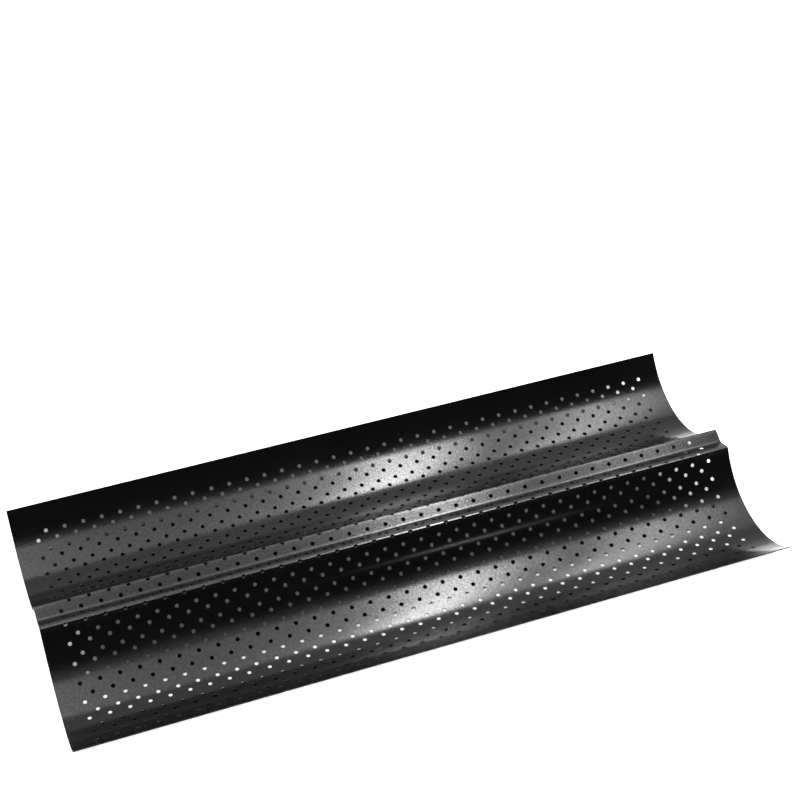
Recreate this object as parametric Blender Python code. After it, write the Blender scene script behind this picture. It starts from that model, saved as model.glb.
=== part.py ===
"""Two-trough baguette tray: one pressed steel sheet, modelled as one closed solid.

Run with: blender --background --python part.py

The tray is a single thin sheet.  Its cross-section is the same all along its length, so the solid is
that section, drawn from its bends like a flat strip going through a press, and extruded along X.
X runs along the troughs, Y points to the taller rim, Z is up.  The origin is the middle of the
bounding box's floor, where the undersides of the two troughs touch the shelf.
"""

from math import acos, cos, radians, sin

import bmesh
import bpy

MM = 0.001

# Sheet
SHEET_LENGTH = 380.0 * MM
SHEET_THICKNESS = 0.6 * MM

# Troughs: the radius is that of the upper, loaf-side surface
TROUGH_RADIUS = 42.7 * MM
BACK_WALL_ANGLE = radians(62.7)    # slope of the back trough's wall where it meets the ridge
FRONT_RIM_ANGLE = radians(50.2)    # slope of the trough wall at the lower, front rim
BACK_RIM_ANGLE = radians(57.9)     # slope of the trough wall at the taller, back rim

# Ridge between the troughs: two narrow crests with a shallow groove between them, the front one lower
CREST_RADIUS = 1.5 * MM            # upper surface of each crest
BACK_GROOVE_ANGLE = radians(27.0)   # slope of the groove's back wall
FRONT_GROOVE_ANGLE = radians(21.5)  # slope of the groove's front wall
GROOVE_WALL = 5.5 * MM             # straight part of each groove wall
GROOVE_FLOOR_HALF = 0.25 * MM      # half of the flat floor of the groove
GROOVE_BEND_RADIUS = 2.0 * MM      # upper surface where the floor turns up into the wall

# Facets: the long arcs and the tight bends
TROUGH_FACET = radians(3.0)
BEND_FACET = radians(9.0)

COATING_COLOUR = (0.018, 0.018, 0.019, 1.0)
COATING_ROUGHNESS = 0.32
COATING_METALLIC = 0.25
SHARP_ANGLE = radians(40.0)


def clear_scene():
    """Remove whatever the file already holds."""
    for old in list(bpy.data.objects):
        bpy.data.objects.remove(old, do_unlink=True)


class SheetPath:
    """Walks along the middle of the sheet, keeping each point with the sheet's slope there."""

    def __init__(self):
        self.y = 0.0
        self.z = 0.0
        self.slope = 0.0
        self.points = [(self.y, self.z, self.slope)]

    def straight(self, length):
        self.y += length * cos(self.slope)
        self.z += length * sin(self.slope)
        self.points.append((self.y, self.z, self.slope))

    def bend(self, radius, turn, facet):
        """Turn by an angle, upwards when it is positive, on an arc of the given middle radius."""
        steps = max(1, round(abs(turn) / facet))
        side = 1.0 if turn > 0 else -1.0
        centre_y = self.y - side * radius * sin(self.slope)
        centre_z = self.z + side * radius * cos(self.slope)
        first_slope = self.slope
        for step in range(1, steps + 1):
            self.slope = first_slope + turn * step / steps
            self.y = centre_y + side * radius * sin(self.slope)
            self.z = centre_z - side * radius * cos(self.slope)
            self.points.append((self.y, self.z, self.slope))


def groove_rise(groove_angle):
    """Height of a crest over the groove's floor."""
    return (GROOVE_BEND_RADIUS + CREST_RADIUS) * (1.0 - cos(groove_angle)) + GROOVE_WALL * sin(groove_angle)


def level_wall_angle():
    """The front trough's wall angle that puts its lowest line level with the back trough's."""
    lower_crest = groove_rise(BACK_GROOVE_ANGLE) - groove_rise(FRONT_GROOVE_ANGLE)
    return acos(cos(BACK_WALL_ANGLE) + lower_crest / (CREST_RADIUS + TROUGH_RADIUS))


def half_path(groove_angle, wall_angle, rim_angle):
    """Middle of the sheet from the groove's centre out to one rim."""
    half_sheet = SHEET_THICKNESS / 2.0
    path = SheetPath()
    path.straight(GROOVE_FLOOR_HALF)
    path.bend(GROOVE_BEND_RADIUS + half_sheet, groove_angle, BEND_FACET)
    path.straight(GROOVE_WALL)
    path.bend(CREST_RADIUS - half_sheet, -(groove_angle + wall_angle), BEND_FACET)
    # The trough is bent in three goes, so that one facet lies flat and centred at its lowest point
    path.bend(TROUGH_RADIUS + half_sheet, wall_angle - TROUGH_FACET / 2.0, TROUGH_FACET)
    path.bend(TROUGH_RADIUS + half_sheet, TROUGH_FACET, TROUGH_FACET)
    path.bend(TROUGH_RADIUS + half_sheet, rim_angle - TROUGH_FACET / 2.0, TROUGH_FACET)
    return path.points


def sheet_outline():
    """Closed outline of the sheet's cross-section as (y, z) points, before it is put on the floor."""
    back = half_path(BACK_GROOVE_ANGLE, BACK_WALL_ANGLE, BACK_RIM_ANGLE)
    front_half = half_path(FRONT_GROOVE_ANGLE, level_wall_angle(), FRONT_RIM_ANGLE)
    front = [(-y, z, -slope) for y, z, slope in front_half[1:]]
    middle = front[::-1] + back
    half_sheet = SHEET_THICKNESS / 2.0
    upper = [(y - half_sheet * sin(s), z + half_sheet * cos(s)) for y, z, s in middle]
    lower = [(y + half_sheet * sin(s), z - half_sheet * cos(s)) for y, z, s in middle]
    return lower + upper[::-1]


def seated_outline():
    """The outline moved so that it rests on z = 0 and its width is centred on y = 0."""
    outline = sheet_outline()
    lowest = min(z for _, z in outline)
    middle_y = (min(y for y, _ in outline) + max(y for y, _ in outline)) / 2.0
    return [(y - middle_y, z - lowest) for y, z in outline]


def coating_material():
    """Dark, half-gloss non-stick coating."""
    material = bpy.data.materials.new("nonstick_coating")
    material.use_nodes = True
    shader = material.node_tree.nodes["Principled BSDF"]
    shader.inputs["Base Color"].default_value = COATING_COLOUR
    shader.inputs["Roughness"].default_value = COATING_ROUGHNESS
    shader.inputs["Metallic"].default_value = COATING_METALLIC
    return material


def pressed_sheet(name):
    """The whole tray: the section as a strip of quads, extruded from end to end."""
    mesh = bpy.data.meshes.new(name)
    bm = bmesh.new()
    outline = seated_outline()
    ring = [bm.verts.new((-SHEET_LENGTH / 2.0, y, z)) for y, z in outline]
    count = len(ring)
    # The end of the sheet is a ribbon: each lower point faces an upper one
    for low in range(count // 2 - 1):
        high = count - 1 - low
        bm.faces.new((ring[low], ring[high], ring[high - 1], ring[low + 1]))
    extruded = bmesh.ops.extrude_face_region(bm, geom=list(bm.faces))
    moved = [item for item in extruded["geom"] if isinstance(item, bmesh.types.BMVert)]
    bmesh.ops.translate(bm, verts=moved, vec=(SHEET_LENGTH, 0.0, 0.0))
    bmesh.ops.recalc_face_normals(bm, faces=list(bm.faces))
    bm.to_mesh(mesh)
    bm.free()
    mesh.shade_smooth()
    mesh.set_sharp_from_angle(angle=SHARP_ANGLE)
    mesh.materials.append(coating_material())
    tray = bpy.data.objects.new(name, mesh)
    bpy.context.scene.collection.objects.link(tray)
    return tray


def main():
    clear_scene()
    pressed_sheet("pressed_sheet")


main()
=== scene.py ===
"""Looks of the two-trough baguette tray: perforated sheet, non-stick coating, floor, light and camera.

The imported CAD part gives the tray's length, width and height.  This script draws the same pressed
section again, much finer, with its 1152 punched holes, and lets that sheet stand for the CAD node.
"""

from math import acos, cos, pi, radians, sin, tan

import bpy
import numpy as np
from mathutils import Matrix, Vector
from mathutils.geometry import delaunay_2d_cdt


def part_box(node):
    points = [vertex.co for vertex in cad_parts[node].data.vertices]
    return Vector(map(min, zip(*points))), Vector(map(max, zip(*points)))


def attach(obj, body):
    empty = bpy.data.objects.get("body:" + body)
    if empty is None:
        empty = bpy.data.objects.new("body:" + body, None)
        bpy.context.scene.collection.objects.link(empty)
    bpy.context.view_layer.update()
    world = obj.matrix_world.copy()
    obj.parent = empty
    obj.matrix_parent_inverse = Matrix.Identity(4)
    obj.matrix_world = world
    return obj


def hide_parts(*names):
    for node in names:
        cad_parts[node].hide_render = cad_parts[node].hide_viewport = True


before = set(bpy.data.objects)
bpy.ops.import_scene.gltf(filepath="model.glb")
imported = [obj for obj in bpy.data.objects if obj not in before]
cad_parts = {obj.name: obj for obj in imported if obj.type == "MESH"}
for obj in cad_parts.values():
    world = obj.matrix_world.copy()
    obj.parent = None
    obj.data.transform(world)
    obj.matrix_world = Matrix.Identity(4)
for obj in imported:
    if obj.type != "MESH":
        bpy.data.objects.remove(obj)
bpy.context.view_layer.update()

MM = 0.001
CAD_NODE = "pressed_sheet"

# The pressed section, with the same dimensions as the CAD part, in metres and radians
SHEET_THICKNESS = 0.6 * MM
TROUGH_RADIUS = 42.7 * MM
BACK_WALL_ANGLE = radians(62.7)
FRONT_RIM_ANGLE = radians(50.2)
BACK_RIM_ANGLE = radians(57.9)
CREST_RADIUS = 1.5 * MM
BACK_GROOVE_ANGLE = radians(27.0)
FRONT_GROOVE_ANGLE = radians(21.5)
GROOVE_WALL = 5.5 * MM
GROOVE_FLOOR_HALF = 0.25 * MM
GROOVE_BEND_RADIUS = 2.0 * MM

# Perforation, laid out on the flat blank before it is pressed
HOLE_RADIUS = 1.0 * MM
HOLE_SIDES = 16
HOLE_LIP = 0.20 * MM               # width of the rounding around each hole
HOLE_PITCH = 10.0 * MM
HOLES_PER_ROW = 36
HOLE_ROWS = 32
ROW_PITCH = 5.06 * MM
BACK_MARGIN = 14.3 * MM            # back rim to the first row, along the sheet
GRID_START = 10.5 * MM             # left end to where the first column of holes begins
FIRST_HOLES = (7.0 * MM, 2.0 * MM)  # from there to a column's hole, in the even rows and in the odd rows
# Over the ridge the rows lie further apart: how much further from the back rim that puts these rows
STRETCHED_ROWS = (10, 14, 15, 16, 17, 19)
STRETCH = (0.0, 6.15 * MM, 6.5 * MM, 6.2 * MM, 7.25 * MM, 7.2 * MM)
ROW_STAGGER = 0.35 * MM            # the even rows are this much too far forward, the odd rows too far back
# The columns stray from their even pitch, in groups of nine: how far to the right these columns are
SLIPPED_COLUMNS = (0, 8, 9, 17, 26, 27, 35)
SLIP = (0.15 * MM, 0.40 * MM, 1.03 * MM, 1.33 * MM, 0.85 * MM, 1.10 * MM, -0.30 * MM)
PATTERN_SKEW = radians(0.31)       # how far the rows lean towards the back rim on the right
PATTERN_SHIFT = 0.35 * MM          # and how much too far forward they start on the left

EDGE_LIP = 0.12 * MM               # width of the rounding along the cut outer edge

# Mesh fineness
MARGIN_ROWS = 3                    # rows without holes that fill the margins at the rims
WALL_STEP = 2.0 * MM               # between mesh lines on the ridge's flat walls
BEND_FACET = radians(8.0)          # turned between mesh lines on its bends
CLOSEST_LINES = 0.8 * MM           # the rows of holes add no mesh line nearer than this to another
SURFACE_SAMPLES = 4001             # places across the sheet at which its height is looked up
TOUCHING = 0.001 * MM              # nearer than this, two points are one
CLOSE = 0.01 * MM                  # a bend is taken this much longer, so that it includes its ends
ROUNDING = 1e-6 * MM               # lengths that differ by no more than this are equal
CUT_TOLERANCE_MM = 1e-4            # nearer than this, the cut mesh merges points


# ---------------------------------------------------------------- the pressed section

class Section:
    """The sheet's cross-section as straight and round pieces, measured along its upper surface."""

    def __init__(self):
        self.pieces = []           # (start length, length, start y, start z, start slope, radius, turn sign)
        self.length = 0.0
        self.y = 0.0
        self.z = 0.0
        self.slope = 0.0

    def straight(self, length):
        self.pieces.append((self.length, length, self.y, self.z, self.slope, None, 0.0))
        self.y += length * cos(self.slope)
        self.z += length * sin(self.slope)
        self.length += length

    def bend(self, radius, turn):
        """Turn by an angle, upwards when it is positive; the radius is that of the upper surface."""
        sign = 1.0 if turn > 0 else -1.0
        self.pieces.append((self.length, radius * abs(turn), self.y, self.z, self.slope, radius, sign))
        centre_y = self.y - sign * radius * sin(self.slope)
        centre_z = self.z + sign * radius * cos(self.slope)
        self.slope += turn
        self.y = centre_y + sign * radius * sin(self.slope)
        self.z = centre_z - sign * radius * cos(self.slope)
        self.length += radius * abs(turn)

    def at(self, lengths):
        """(y, z, slope) of the upper surface at each distance from the section's start."""
        lengths = np.asarray(lengths, float)
        result = np.zeros((len(lengths), 3))
        for start, length, y, z, slope, radius, sign in self.pieces:
            here = (lengths >= start - ROUNDING) & (lengths <= start + length + ROUNDING)
            run = lengths[here] - start
            if radius is None:
                angle = np.full(len(run), slope)
                result[here, 0] = y + run * cos(slope)
                result[here, 1] = z + run * sin(slope)
            else:
                angle = slope + sign * run / radius
                result[here, 0] = y + sign * radius * (np.sin(angle) - sin(slope))
                result[here, 1] = z - sign * radius * (np.cos(angle) - cos(slope))
            result[here, 2] = angle
        return result


def groove_rise(groove_angle):
    """Height of a crest over the groove's floor."""
    bends = (GROOVE_BEND_RADIUS + CREST_RADIUS) * (1.0 - cos(groove_angle))
    return bends + GROOVE_WALL * sin(groove_angle)


def level_wall_angle():
    """The front trough's wall angle that puts its lowest line level with the back trough's."""
    turned = CREST_RADIUS + TROUGH_RADIUS
    lower_crest = groove_rise(BACK_GROOVE_ANGLE) - groove_rise(FRONT_GROOVE_ANGLE)
    return acos(cos(BACK_WALL_ANGLE) + lower_crest / turned)


def draw_half(section, groove_angle, wall_angle, rim_angle):
    """From the groove's centre to one rim."""
    section.straight(GROOVE_FLOOR_HALF)
    section.bend(GROOVE_BEND_RADIUS, groove_angle)
    section.straight(GROOVE_WALL)
    section.bend(CREST_RADIUS, -(groove_angle + wall_angle))
    section.bend(TROUGH_RADIUS, wall_angle + rim_angle)
    return section


class PressedSheet:
    """Maps the flat blank (x from the left end, s from the back rim) onto the pressed tray."""

    def __init__(self, low, high):
        self.back = draw_half(Section(), BACK_GROOVE_ANGLE, BACK_WALL_ANGLE, BACK_RIM_ANGLE)
        self.front = draw_half(Section(), FRONT_GROOVE_ANGLE, level_wall_angle(), FRONT_RIM_ANGLE)
        self.half = self.back.length
        self.width = self.back.length + self.front.length
        self.length = high.x - low.x
        self.left = low.x
        self.shift = np.zeros(2)
        s = np.linspace(0.0, self.width, SURFACE_SAMPLES)
        under = self.points(np.zeros(len(s)), s, -SHEET_THICKNESS)[0]
        over = self.points(np.zeros(len(s)), s, 0.0)[0]
        both = np.vstack([under, over])
        self.shift = np.array([
            (low.y + high.y) / 2.0 - (both[:, 1].min() + both[:, 1].max()) / 2.0,
            low.z - both[:, 2].min(),
        ])

    def points(self, x, s, height):
        """World points and upward normals, at a height above the upper surface."""
        s = np.asarray(s, float)
        run = self.half - s
        back = self.back.at(np.clip(run, 0.0, None))
        front = self.front.at(np.clip(-run, 0.0, self.front.length))
        front[:, 0] *= -1.0
        front[:, 2] *= -1.0
        place = np.where((run >= 0.0)[:, None], back, front)
        normal = np.column_stack([np.zeros(len(s)), -np.sin(place[:, 2]), np.cos(place[:, 2])])
        upper = np.column_stack([self.left + np.asarray(x, float), place[:, 0], place[:, 1]])
        upper[:, 1:] += self.shift
        height = np.broadcast_to(np.asarray(height, float), s.shape)
        return upper + normal * height[:, None], normal

    def tight_lines(self):
        """Distances from the back rim at which the ridge needs a mesh line, closest on its bends."""
        lines = []
        for section, side in ((self.back, -1.0), (self.front, 1.0)):
            for start, length, _, _, _, radius, _ in section.pieces:
                if radius == TROUGH_RADIUS:
                    continue
                if radius is None:
                    steps = max(1, round(length / WALL_STEP))
                else:
                    steps = round(length / radius / BEND_FACET)
                lines += [self.half + side * (start + length * k / steps) for k in range(steps + 1)]
        return lines

    def burnished(self, s):
        """How burnished the sheet is: 1 on the front crest, half that on the bends behind it, 0 elsewhere."""
        amount = np.zeros(len(s))
        for section, side, bend_radius, share in (
            (self.front, 1.0, CREST_RADIUS, 1.0),
            (self.back, -1.0, CREST_RADIUS, 0.5),
            (self.back, -1.0, GROOVE_BEND_RADIUS, 0.5),
        ):
            run = side * (s - self.half)
            for start, length, _, _, _, radius, _ in section.pieces:
                if radius == bend_radius:
                    amount[(run > start - CLOSE) & (run < start + length + CLOSE)] = share
        return amount


def row_place(row):
    """Distance of a row of holes from the back rim, along the sheet, before the pattern's skew."""
    stagger = ROW_STAGGER if row % 2 == 0 else -ROW_STAGGER
    return BACK_MARGIN + ROW_PITCH * row + float(np.interp(row, STRETCHED_ROWS, STRETCH)) + stagger


# ---------------------------------------------------------------- the perforated sheet

def cross_lines(sheet):
    """Where the mesh has lines along the tray: at the ridge's bends, at each row and midway between rows."""
    lines = [EDGE_LIP, sheet.width - EDGE_LIP] + sheet.tight_lines()
    for row in range(-MARGIN_ROWS, HOLE_ROWS + MARGIN_ROWS):
        for place in (row_place(row), (row_place(row) + row_place(row + 1)) / 2.0):
            near = min(abs(place - line) for line in lines)
            if EDGE_LIP < place < sheet.width - EDGE_LIP and near > CLOSEST_LINES:
                lines.append(place)
    lines.sort()
    return [a for a, b in zip(lines, lines[1:]) if b - a > TOUCHING] + [lines[-1]]


def flat_tile(lines, holes):
    """A flat strip of the blank, one pitch wide, as points and triangles, with the holes left open."""
    points = []
    edges = []
    for line in lines:
        points += [(0.0, line), (HOLE_PITCH, line)]
        edges.append((len(points) - 2, len(points) - 1))
    for k in range(len(lines) - 1):
        edges += [(2 * k, 2 * k + 2), (2 * k + 1, 2 * k + 3)]
    radius = HOLE_RADIUS + HOLE_LIP
    angles = 2.0 * pi * np.arange(HOLE_SIDES) / HOLE_SIDES
    rings = []
    for x, s in holes:
        rings.append(list(range(len(points), len(points) + HOLE_SIDES)))
        points += [(x + radius * cos(a), s + radius * sin(a)) for a in angles]
    in_mm = [Vector((x / MM, s / MM)) for x, s in points]
    placed, _, triangles, _, _, insides = delaunay_2d_cdt(in_mm, edges, rings, 0, CUT_TOLERANCE_MM)
    placed = np.array(placed) * MM
    sheet_triangles = [list(t) for t, inside in zip(triangles, insides) if not inside]
    return placed, np.array(sheet_triangles)


def ring_of(placed, used, x, s):
    """The points around one hole, in order, with any that a mesh line adds where it meets the rim."""
    offset = placed[used] - (x, s)
    on_rim = np.hypot(offset[:, 0], offset[:, 1]) < HOLE_RADIUS + HOLE_LIP + TOUCHING
    angles = np.arctan2(offset[on_rim, 1], offset[on_rim, 0])
    return used[on_rim][np.argsort(angles)]


class Blank:
    """The flat perforated blank: points (x, s), triangles, and the loops of points at its free edges."""

    def __init__(self, sheet):
        column_starts = [GRID_START + HOLE_PITCH * k for k in range(HOLES_PER_ROW + 1)]
        self.columns = np.array([EDGE_LIP] + column_starts + [sheet.length - EDGE_LIP])
        self.lines = np.array(cross_lines(sheet))
        grid = [(x, s) for x in self.columns for s in self.lines]
        self.points = [np.array(grid)]
        self.count = len(grid)
        self.triangles = [self.plain_strip(0), self.plain_strip(len(self.columns) - 2)]
        self.holes = []
        for number in range(HOLES_PER_ROW):
            self.add_column(number)
        self.points = np.vstack(self.points)
        self.triangles = np.vstack(self.triangles)

    def plain_strip(self, column):
        """The triangles of a strip without holes."""
        near = column * len(self.lines) + np.arange(len(self.lines) - 1)
        far = near + len(self.lines)
        return np.vstack([
            np.column_stack([near, near + 1, far]),
            np.column_stack([far, near + 1, far + 1]),
        ])

    def add_column(self, number):
        """One column of holes, with the strip of sheet around it."""
        column = number + 1
        slip = float(np.interp(number, SLIPPED_COLUMNS, SLIP))
        holes = []
        for row in range(HOLE_ROWS):
            x = FIRST_HOLES[row % 2] + slip
            lean = PATTERN_SHIFT - (number * HOLE_PITCH + x) * tan(PATTERN_SKEW)
            holes.append((x, row_place(row) + lean))
        placed, triangles = flat_tile(self.lines, holes)
        left = placed[:, 0] < TOUCHING
        right = placed[:, 0] > HOLE_PITCH - TOUCHING
        inner = ~(left | right)
        line = np.abs(placed[:, 1][:, None] - self.lines[None]).argmin(axis=1)
        index = np.zeros(len(placed), int)
        index[inner] = self.count + np.arange(inner.sum())
        index[left] = column * len(self.lines) + line[left]
        index[right] = (column + 1) * len(self.lines) + line[right]
        self.points.append(placed[inner] + (self.columns[column], 0.0))
        self.count += int(inner.sum())
        self.triangles.append(index[triangles])
        used = np.unique(triangles)
        for x, s in holes:
            self.holes.append((x + self.columns[column], s, index[ring_of(placed, used, x, s)]))

    def outline(self):
        """The outer edge's points in order: left end, front rim, right end, back rim."""
        rows = len(self.lines)
        columns = len(self.columns)
        left = np.arange(rows)
        front = rows - 1 + rows * np.arange(columns)
        right = (columns - 1) * rows + np.arange(rows)
        back = rows * np.arange(columns)
        return np.concatenate([left[:-1], front[:-1], right[::-1][:-1], back[::-1][:-1]])


def skirt(loops):
    """Bands of quads, each from one loop of points to the next."""
    ahead = (np.arange(len(loops[0])) + 1) % len(loops[0])
    return [
        np.column_stack([upper, lower, lower[ahead], upper[ahead]])
        for upper, lower in zip(loops, loops[1:])
    ]


class SheetMesh:
    """The pressed sheet's upper and under face, with a rounded edge around each hole and the outside."""

    def __init__(self, sheet):
        self.sheet = sheet
        self.blank = Blank(sheet)
        x, s = self.blank.points.T
        over, up = sheet.points(x, s, 0.0)
        under, _ = sheet.points(x, s, -SHEET_THICKNESS)
        self.face_size = len(over)
        self.count = 2 * self.face_size
        self.points = [over, under]
        self.normals = [up, -up]
        self.worn = [np.zeros(self.count)]
        self.burnished = [sheet.burnished(s), sheet.burnished(s)]
        self.quads = []
        for hole_x, hole_s, loop in self.blank.holes:
            self.add_hole_edge(hole_x, hole_s, loop)
        self.add_outer_edge()

    def face_triangles(self):
        """The triangles of both faces, each side wound outwards."""
        triangles = self.blank.triangles
        a, b, c = (self.blank.points[triangles[:, k]] for k in range(3))
        turn = (b - a)[:, 0] * (c - a)[:, 1] - (b - a)[:, 1] * (c - a)[:, 0]
        triangles[turn > 0] = triangles[turn > 0][:, ::-1]
        return np.vstack([triangles, triangles[:, ::-1] + self.face_size])

    def add_hole_edge(self, hole_x, hole_s, loop):
        flat = self.blank.points[loop]
        inward = np.array([hole_x, hole_s]) - flat
        inward /= np.hypot(inward[:, 0], inward[:, 1])[:, None]
        self.add_edge(flat + inward * HOLE_LIP, inward, loop, HOLE_LIP, HOLE_WEAR)

    def add_outer_edge(self):
        loop = self.blank.outline()
        flat = self.blank.points[loop]
        edge = EDGE_LIP + TOUCHING
        outward = np.zeros_like(flat)
        outward[:, 0] = (flat[:, 0] > self.sheet.length - edge).astype(float) - (flat[:, 0] < edge)
        outward[:, 1] = (flat[:, 1] > self.sheet.width - edge).astype(float) - (flat[:, 1] < edge)
        flat = flat + outward * EDGE_LIP
        outward /= np.hypot(outward[:, 0], outward[:, 1])[:, None]
        self.add_edge(flat, outward, loop, EDGE_LIP, OUTER_WEAR)

    def add_edge(self, flat, facing, loop, lip, wear):
        """One free edge: two more loops of points between the upper loop and the under one."""
        upper, up = self.sheet.points(flat[:, 0], flat[:, 1], -lip)
        lower, _ = self.sheet.points(flat[:, 0], flat[:, 1], lip - SHEET_THICKNESS)
        along_x = np.array([1.0, 0.0, 0.0])
        to_back_rim = np.cross(up, along_x)
        sideways = facing[:, :1] * along_x - facing[:, 1:] * to_back_rim
        size = len(loop)
        self.points += [upper, lower]
        self.normals += [sideways, sideways]
        self.worn.append(np.full(2 * size, wear))
        self.burnished.append(np.zeros(2 * size))
        added = self.count + np.arange(size)
        self.quads += skirt([loop, added, added + size, loop + self.face_size])
        self.count += 2 * size

    def make(self, name):
        """The finished object, with the attributes that its material reads."""
        faces = self.face_triangles().tolist() + np.vstack(self.quads).tolist()
        mesh = bpy.data.meshes.new(name)
        mesh.from_pydata(np.vstack(self.points).tolist(), [], faces)
        mesh.shade_smooth()
        mesh.normals_split_custom_set_from_vertices(np.vstack(self.normals).tolist())
        for attribute, values in (("worn", self.worn), ("burnished", self.burnished)):
            layer = mesh.attributes.new(attribute, "FLOAT", "POINT")
            layer.data.foreach_set("value", np.concatenate(values))
        mesh.validate()
        made = bpy.data.objects.new(name, mesh)
        bpy.context.scene.collection.objects.link(made)
        return made


# ---------------------------------------------------------------- materials

COATING_DARK = (0.0014, 0.0014, 0.0015, 1.0)
COATING_PALE = (0.0034, 0.0034, 0.0036, 1.0)
BLOTCH_SCALE = 35.0                # of the noise that varies the colour and the gloss
COATING_ROUGHNESS = (0.12, 0.16)
GRAIN_SCALE = 1200.0
GRAIN_HEIGHT = 0.028 * MM
GRAIN_ROUGHNESS = 0.03             # added where the grain is highest
SPECKLE_SCALE = 850.0
SPECKLE_SHINE = (0.42, 0.58)       # specular level of the dullest and the shiniest specks
BURNISHED_SHINE = 1.5              # how many times as shiny the sheet is where it is fully burnished

OUTER_WEAR = 1.0                   # wear of the cut outer edge
HOLE_WEAR = 0.12                   # and of the holes' edges
WEAR_SCALE = 300.0                 # of the patches in it
WORN_COLOUR = (0.06, 0.06, 0.06, 1.0)
WORN_ROUGHNESS = 0.12              # added where the sheet is fully worn
WORN_SHINE = 0.3                   # how much of the shine is left on worn edges

PRESS_MARK_PLACE = 121.5 * MM      # from the back rim, along the sheet
PRESS_MARK_X = 35.0 * MM
PRESS_MARK_LENGTH = 105.0 * MM
PRESS_MARK_WIDTH = 2.2 * MM
PRESS_MARK_HEIGHT = 1.20 * MM

PAPER_COLOUR = (0.9, 0.9, 0.9, 1.0)
PAPER_ROUGHNESS = 0.9
PAPER_GLOW = 0.86
# painted shade: the floor's colour under the tray is black
PAINTED_SHADE_COLOUR = (0.0, 0.0, 0.0, 1.0)
# Where the floor gets painted shade and painted light under the tray, in metres: the fades at its ends along
# X, at its front and at its back in Y
TRAY_COVER = ((0.178, 0.190), (-0.0695, -0.0660), (0.084, 0.108))
# Painted light: glow painted on the black floor under the tray: (y, brightness)
PAINTED_UNDER_LIGHT = (
    (-0.0560, 0.001),
    (-0.0550, 0.950),
    (-0.0404, 0.950),
    (-0.0395, 0.001),
    (-0.0275, 0.001),
    (-0.0235, 0.060),
    (0.0000, 0.085),
    (0.0105, 0.085),
    (0.0120, 0.001),
    (0.0664, 0.003),
    (0.0674, 0.080),
    (0.0730, 0.110),
    (0.0850, 0.120),
)
UNDER_RANGE = (-0.08, 0.10)
UNDER_LEAN = 0.0045                # slope of the painted light's edges, towards the back on the right
UNDER_LEAN_FADE = (-0.055, -0.041)  # where that slope sets in, in y
END_LEAK = 8.0                     # times as much painted light is added at the ends, standing in for light that gets in sideways
END_LEAK_FADE = (0.154, 0.186)
END_LEAK_SHIFT = 0.006             # the right end gets more of the painted light


def math_node(tree, operation, *values):
    """A Math node whose inputs are sockets or plain numbers."""
    node = tree.nodes.new("ShaderNodeMath")
    node.operation = operation
    for socket, value in zip(node.inputs, values):
        if isinstance(value, bpy.types.NodeSocket):
            tree.links.new(value, socket)
        else:
            socket.default_value = value
    return node.outputs[0]


def fade_node(tree, value, start, end, low, high):
    """Goes smoothly from low at start to high at end."""
    node = tree.nodes.new("ShaderNodeMapRange")
    node.interpolation_type = "SMOOTHSTEP"
    node.inputs["From Min"].default_value = start
    node.inputs["From Max"].default_value = end
    node.inputs["To Min"].default_value = low
    node.inputs["To Max"].default_value = high
    tree.links.new(value, node.inputs["Value"])
    return node.outputs[0]


def split_node(tree, place):
    """X and Y of a place."""
    node = tree.nodes.new("ShaderNodeSeparateXYZ")
    tree.links.new(place, node.inputs[0])
    return node.outputs["X"], node.outputs["Y"]


def attribute_node(tree, name):
    node = tree.nodes.new("ShaderNodeAttribute")
    node.attribute_name = name
    return node.outputs["Fac"]


def noise_node(tree, place, scale, detail):
    node = tree.nodes.new("ShaderNodeTexNoise")
    node.inputs["Scale"].default_value = scale
    node.inputs["Detail"].default_value = detail
    tree.links.new(place, node.inputs["Vector"])
    return node.outputs["Fac"]


def bump_node(tree, height, distance, under=None):
    """The normal of a surface raised by height times distance, on top of another bump if one is given."""
    node = tree.nodes.new("ShaderNodeBump")
    node.inputs["Strength"].default_value = 1.0
    node.inputs["Distance"].default_value = distance
    tree.links.new(height, node.inputs["Height"])
    if under is not None:
        tree.links.new(under, node.inputs["Normal"])
    return node.outputs["Normal"]


def mix_colour(tree, factor, first, second):
    node = tree.nodes.new("ShaderNodeMix")
    node.data_type = "RGBA"
    tree.links.new(factor, node.inputs["Factor"])
    for name, value in (("A", first), ("B", second)):
        socket = next(s for s in node.inputs if s.name == name and s.type == "RGBA")
        if isinstance(value, bpy.types.NodeSocket):
            tree.links.new(value, socket)
        else:
            socket.default_value = value
    return next(s for s in node.outputs if s.type == "RGBA")


def press_mark(tree, place, sheet):
    """Height, from 0 to 1, of the faint line that the press left on the front trough's back wall."""
    middle = sheet.points([sheet.length / 2.0 + PRESS_MARK_X], [PRESS_MARK_PLACE], 0.0)[0][0]
    x, y = split_node(tree, place)
    across = math_node(tree, "DIVIDE", math_node(tree, "SUBTRACT", y, middle[1]), PRESS_MARK_WIDTH)
    along = math_node(tree, "DIVIDE", math_node(tree, "SUBTRACT", x, middle[0]), PRESS_MARK_LENGTH)
    squares = math_node(tree, "MULTIPLY_ADD", across, across, math_node(tree, "MULTIPLY", along, along))
    return math_node(tree, "EXPONENT", math_node(tree, "MULTIPLY", squares, -1.0))


def new_material(name):
    """A material that uses nodes, and the place on the object as a socket."""
    material = bpy.data.materials.new(name)
    material.use_nodes = True
    coordinates = material.node_tree.nodes.new("ShaderNodeTexCoord")
    return material, material.node_tree, coordinates.outputs["Object"]


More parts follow.
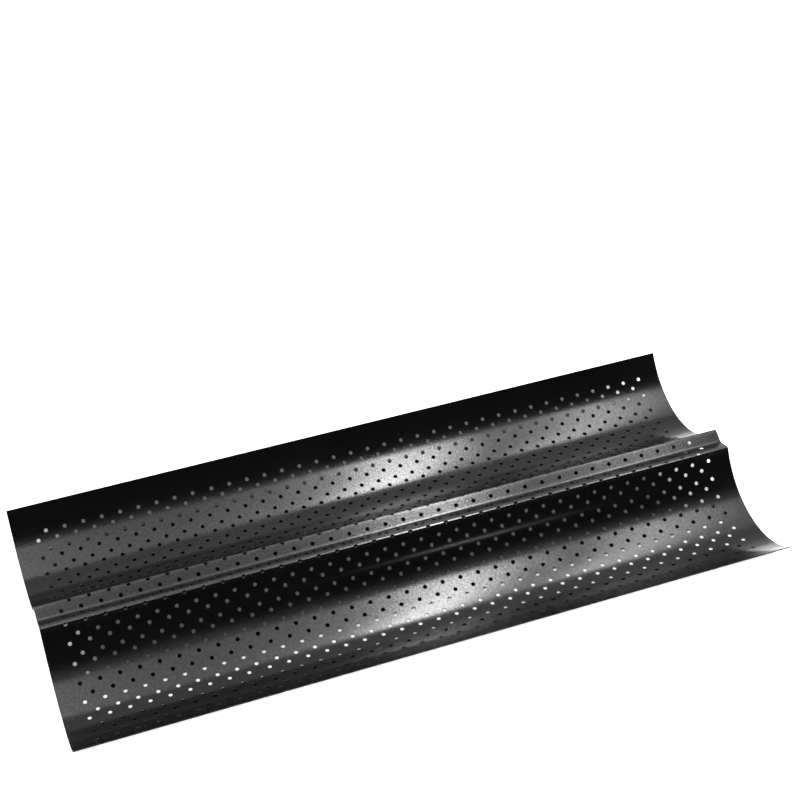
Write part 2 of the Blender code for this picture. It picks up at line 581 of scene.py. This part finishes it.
def coating_material(sheet):
    """Half-gloss black non-stick coating: uneven gloss, fine grain, and grey wear on the cut edges."""
    material, tree, place = new_material("nonstick_coating_fine")
    shader = tree.nodes["Principled BSDF"]
    shader.inputs["Metallic"].default_value = 0.0
    blotches = noise_node(tree, place, BLOTCH_SCALE, 4.0)
    grain = noise_node(tree, place, GRAIN_SCALE, 2.0)
    speckle = noise_node(tree, place, SPECKLE_SCALE, 1.0)
    worn = attribute_node(tree, "worn")
    patchy = fade_node(tree, noise_node(tree, place, WEAR_SCALE, 2.0), 0.35, 0.65, 0.3, 1.0)
    wear = math_node(tree, "MULTIPLY", worn, patchy)

    coat = mix_colour(tree, blotches, COATING_DARK, COATING_PALE)
    tree.links.new(mix_colour(tree, wear, coat, WORN_COLOUR), shader.inputs["Base Color"])

    roughness = fade_node(tree, blotches, 0.3, 0.7, *COATING_ROUGHNESS)
    roughness = math_node(tree, "MULTIPLY_ADD", grain, GRAIN_ROUGHNESS, roughness)
    roughness = math_node(tree, "MULTIPLY_ADD", wear, WORN_ROUGHNESS, roughness)
    tree.links.new(roughness, shader.inputs["Roughness"])

    shine = fade_node(tree, speckle, 0.3, 0.7, *SPECKLE_SHINE)
    dulled = fade_node(tree, worn, 0.0, 0.1, 1.0, WORN_SHINE)
    polished = fade_node(tree, attribute_node(tree, "burnished"), 0.0, 1.0, 1.0, BURNISHED_SHINE)
    shine = math_node(tree, "MULTIPLY", shine, math_node(tree, "MULTIPLY", dulled, polished))
    tree.links.new(shine, shader.inputs["Specular IOR Level"])

    mark = bump_node(tree, press_mark(tree, place, sheet), PRESS_MARK_HEIGHT)
    tree.links.new(bump_node(tree, grain, GRAIN_HEIGHT, mark), shader.inputs["Normal"])
    return material


def covered(tree, x, y):
    """1 under the tray, where the floor gets painted shade and painted light, and 0 away from it, with soft
    edges.
    """
    half_length, front, back = TRAY_COVER
    ends = fade_node(tree, math_node(tree, "ABSOLUTE", x), *half_length, 1.0, 0.0)
    behind_front = fade_node(tree, y, *front, 0.0, 1.0)
    before_back = fade_node(tree, y, *back, 1.0, 0.0)
    return math_node(tree, "MULTIPLY", math_node(tree, "MULTIPLY", behind_front, before_back), ends)


def painted_light_under(tree, x, y):
    """Painted light: brightness painted on the floor under the tray as glow, in stripes along it, brighter
    near its ends.
    """
    start, end = UNDER_RANGE
    lean = math_node(tree, "MULTIPLY", x, fade_node(tree, y, *UNDER_LEAN_FADE, 0.0, UNDER_LEAN))
    from_start = math_node(tree, "SUBTRACT", math_node(tree, "SUBTRACT", y, lean), start)
    ramp = tree.nodes.new("ShaderNodeValToRGB")
    tree.links.new(math_node(tree, "DIVIDE", from_start, end - start), ramp.inputs[0])
    stops = ramp.color_ramp.elements
    while len(stops) < len(PAINTED_UNDER_LIGHT):
        stops.new(1.0)
    for stop, (stop_y, light) in zip(stops, PAINTED_UNDER_LIGHT):
        stop.position = (stop_y - start) / (end - start)
        stop.color = (light, light, light, 1.0)
    off_middle = math_node(tree, "ABSOLUTE", math_node(tree, "ADD", x, END_LEAK_SHIFT))
    leak = fade_node(tree, off_middle, *END_LEAK_FADE, 1.0, 1.0 + END_LEAK)
    return math_node(tree, "MINIMUM", math_node(tree, "MULTIPLY", ramp.outputs[0], leak), 1.0)


def floor_material():
    """White paper that glows a little, and under the tray painted shade (black colour) with stripes of
    painted light (glow) on it.
    """
    material, tree, place = new_material("studio_floor")
    shader = tree.nodes["Principled BSDF"]
    shader.inputs["Roughness"].default_value = PAPER_ROUGHNESS
    shader.inputs["Specular IOR Level"].default_value = 0.0
    shader.inputs["Emission Color"].default_value = (1.0, 1.0, 1.0, 1.0)
    x, y = split_node(tree, place)
    painted_area = covered(tree, x, y)
    # painted light: under the tray the stripes of painted light take the place of the paper's glow
    change = math_node(tree, "SUBTRACT", painted_light_under(tree, x, y), PAPER_GLOW)
    glow = math_node(tree, "MULTIPLY_ADD", change, painted_area, PAPER_GLOW)
    tree.links.new(glow, shader.inputs["Emission Strength"])
    # painted shade: the floor turns black under the tray
    tree.links.new(mix_colour(tree, painted_area, PAPER_COLOUR, PAINTED_SHADE_COLOUR), shader.inputs["Base Color"])
    return material


# ---------------------------------------------------------------- studio

# The softbox: a sheet of light that leans over the tray, lower at the back.  Sizes in metres
SOFTBOX_HEIGHT = 0.868             # above the floor, over the middle of the tray
SOFTBOX_LEAN = -0.55               # rise per metre towards the back
SOFTBOX_X = (-0.60, 0.62)
SOFTBOX_Y = (-0.215, 0.465)
SOFTBOX_GLOW = 1.3
# Brighter stripes where its lamps are: (x over the tray's middle, shift of x per metre of y, distance
# from the stripe's middle to half its glow, glow)
LAMP_STRIPES = (
    (0.262, -0.155, 0.033, 26.0),
    (0.17, -0.15, 0.090, 1.3),
    (0.495, -0.23, 0.042, 9.5),
    (-0.30, 0.0, 0.15, 2.2),
)

# The pale room around the softbox, with the unlit side the camera stands on
ROOM_GLOW = 0.7
HORIZON_GLOW = 0.4                 # added near the horizon
HORIZON_FADE = (0.05, 0.45)        # sines of the heights above it between which that dies away
DARK_SIDE = (0.25, -0.8, 0.5)
DARK_SIDE_GLOW = 0.045
DARK_SIDE_FADE = (cos(radians(46.0)), cos(radians(26.0)))

FLOOR_DROP = 0.02 * MM
FLOOR_HALF = 20.0


def softbox_material():
    """Light that is even across the sheet but for the soft stripes of the lamps behind it."""
    material, tree, place = new_material("softbox_glow")
    x, y = split_node(tree, place)
    total = SOFTBOX_GLOW
    for centre, slant, half_width, glow in LAMP_STRIPES:
        middle = math_node(tree, "MULTIPLY_ADD", y, slant, centre)
        off = math_node(tree, "DIVIDE", math_node(tree, "SUBTRACT", x, middle), half_width)
        fade = math_node(tree, "POWER", 0.5, math_node(tree, "MULTIPLY", off, off))
        total = math_node(tree, "MULTIPLY_ADD", fade, glow, total)
    emission = tree.nodes.new("ShaderNodeEmission")
    tree.links.new(total, emission.inputs["Strength"])
    tree.links.new(emission.outputs[0], tree.nodes["Material Output"].inputs["Surface"])
    tree.nodes.remove(tree.nodes["Principled BSDF"])
    return material


def stage_plane(name, corners, material):
    mesh = bpy.data.meshes.new(name)
    mesh.from_pydata(corners, [], [(0, 1, 2, 3)])
    mesh.materials.append(material)
    made = bpy.data.objects.new(name, mesh)
    bpy.context.scene.collection.objects.link(made)
    return made


def floor():
    signs = ((-1, -1), (1, -1), (1, 1), (-1, 1))
    corners = [(x * FLOOR_HALF, y * FLOOR_HALF, -FLOOR_DROP) for x, y in signs]
    return stage_plane("floor", corners, floor_material())


def softbox():
    left, right = SOFTBOX_X
    front, back = SOFTBOX_Y
    ends = ((left, front), (left, back), (right, back), (right, front))
    corners = [(x, y, SOFTBOX_HEIGHT + SOFTBOX_LEAN * y) for x, y in ends]
    made = stage_plane("softbox", corners, softbox_material())
    made.visible_camera = False
    return made


def room():
    """The world: pale all round, paler near the horizon, and dark on the camera's side."""
    world = bpy.data.worlds.new("studio")
    bpy.context.scene.world = world
    world.use_nodes = True
    tree = world.node_tree
    place = tree.nodes.new("ShaderNodeTexCoord").outputs["Generated"]
    split = tree.nodes.new("ShaderNodeSeparateXYZ")
    tree.links.new(place, split.inputs[0])
    toward = tree.nodes.new("ShaderNodeVectorMath")
    toward.operation = "DOT_PRODUCT"
    toward.inputs[1].default_value = Vector(DARK_SIDE).normalized()
    tree.links.new(place, toward.inputs[0])
    lit = fade_node(tree, toward.outputs["Value"], *DARK_SIDE_FADE, 1.0, 0.0)
    pale = fade_node(tree, split.outputs["Z"], *HORIZON_FADE, ROOM_GLOW + HORIZON_GLOW, ROOM_GLOW)
    glow = math_node(tree, "MAXIMUM", math_node(tree, "MULTIPLY", lit, pale), DARK_SIDE_GLOW)
    background = tree.nodes["Background"]
    background.inputs["Color"].default_value = (1.0, 1.0, 1.0, 1.0)
    tree.links.new(glow, background.inputs["Strength"])


# Camera
CAMERA_PLACE = (-0.2194, -0.5781, 0.6590)
CAMERA_YAW = radians(20.85)        # towards +X from +Y
CAMERA_PITCH = radians(41.68)      # below the horizon
CAMERA_ROLL = radians(0.60)
CAMERA_LENS_MM = 76.2
CAMERA_CLIP = (0.01, 50.0)
SENSOR_MM = 36.0


def photo_camera():
    data = bpy.data.cameras.new("camera")
    data.sensor_width = SENSOR_MM
    data.lens = CAMERA_LENS_MM
    data.clip_start, data.clip_end = CAMERA_CLIP
    camera = bpy.data.objects.new("camera", data)
    bpy.context.scene.collection.objects.link(camera)
    turn = (
        Matrix.Rotation(-CAMERA_YAW, 4, "Z")
        @ Matrix.Rotation(pi / 2.0 - CAMERA_PITCH, 4, "X")
        @ Matrix.Rotation(CAMERA_ROLL, 4, "Z")
    )
    camera.matrix_world = Matrix.Translation(CAMERA_PLACE) @ turn
    bpy.context.scene.camera = camera


# ---------------------------------------------------------------- assembly

sheet = PressedSheet(*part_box(CAD_NODE))
tray = SheetMesh(sheet).make("perforated_sheet")
tray.data.materials.append(coating_material(sheet))
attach(tray, "root")
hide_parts(CAD_NODE)
floor()
softbox()
room()
photo_camera()
bpy.context.scene.view_settings.view_transform = "Standard"
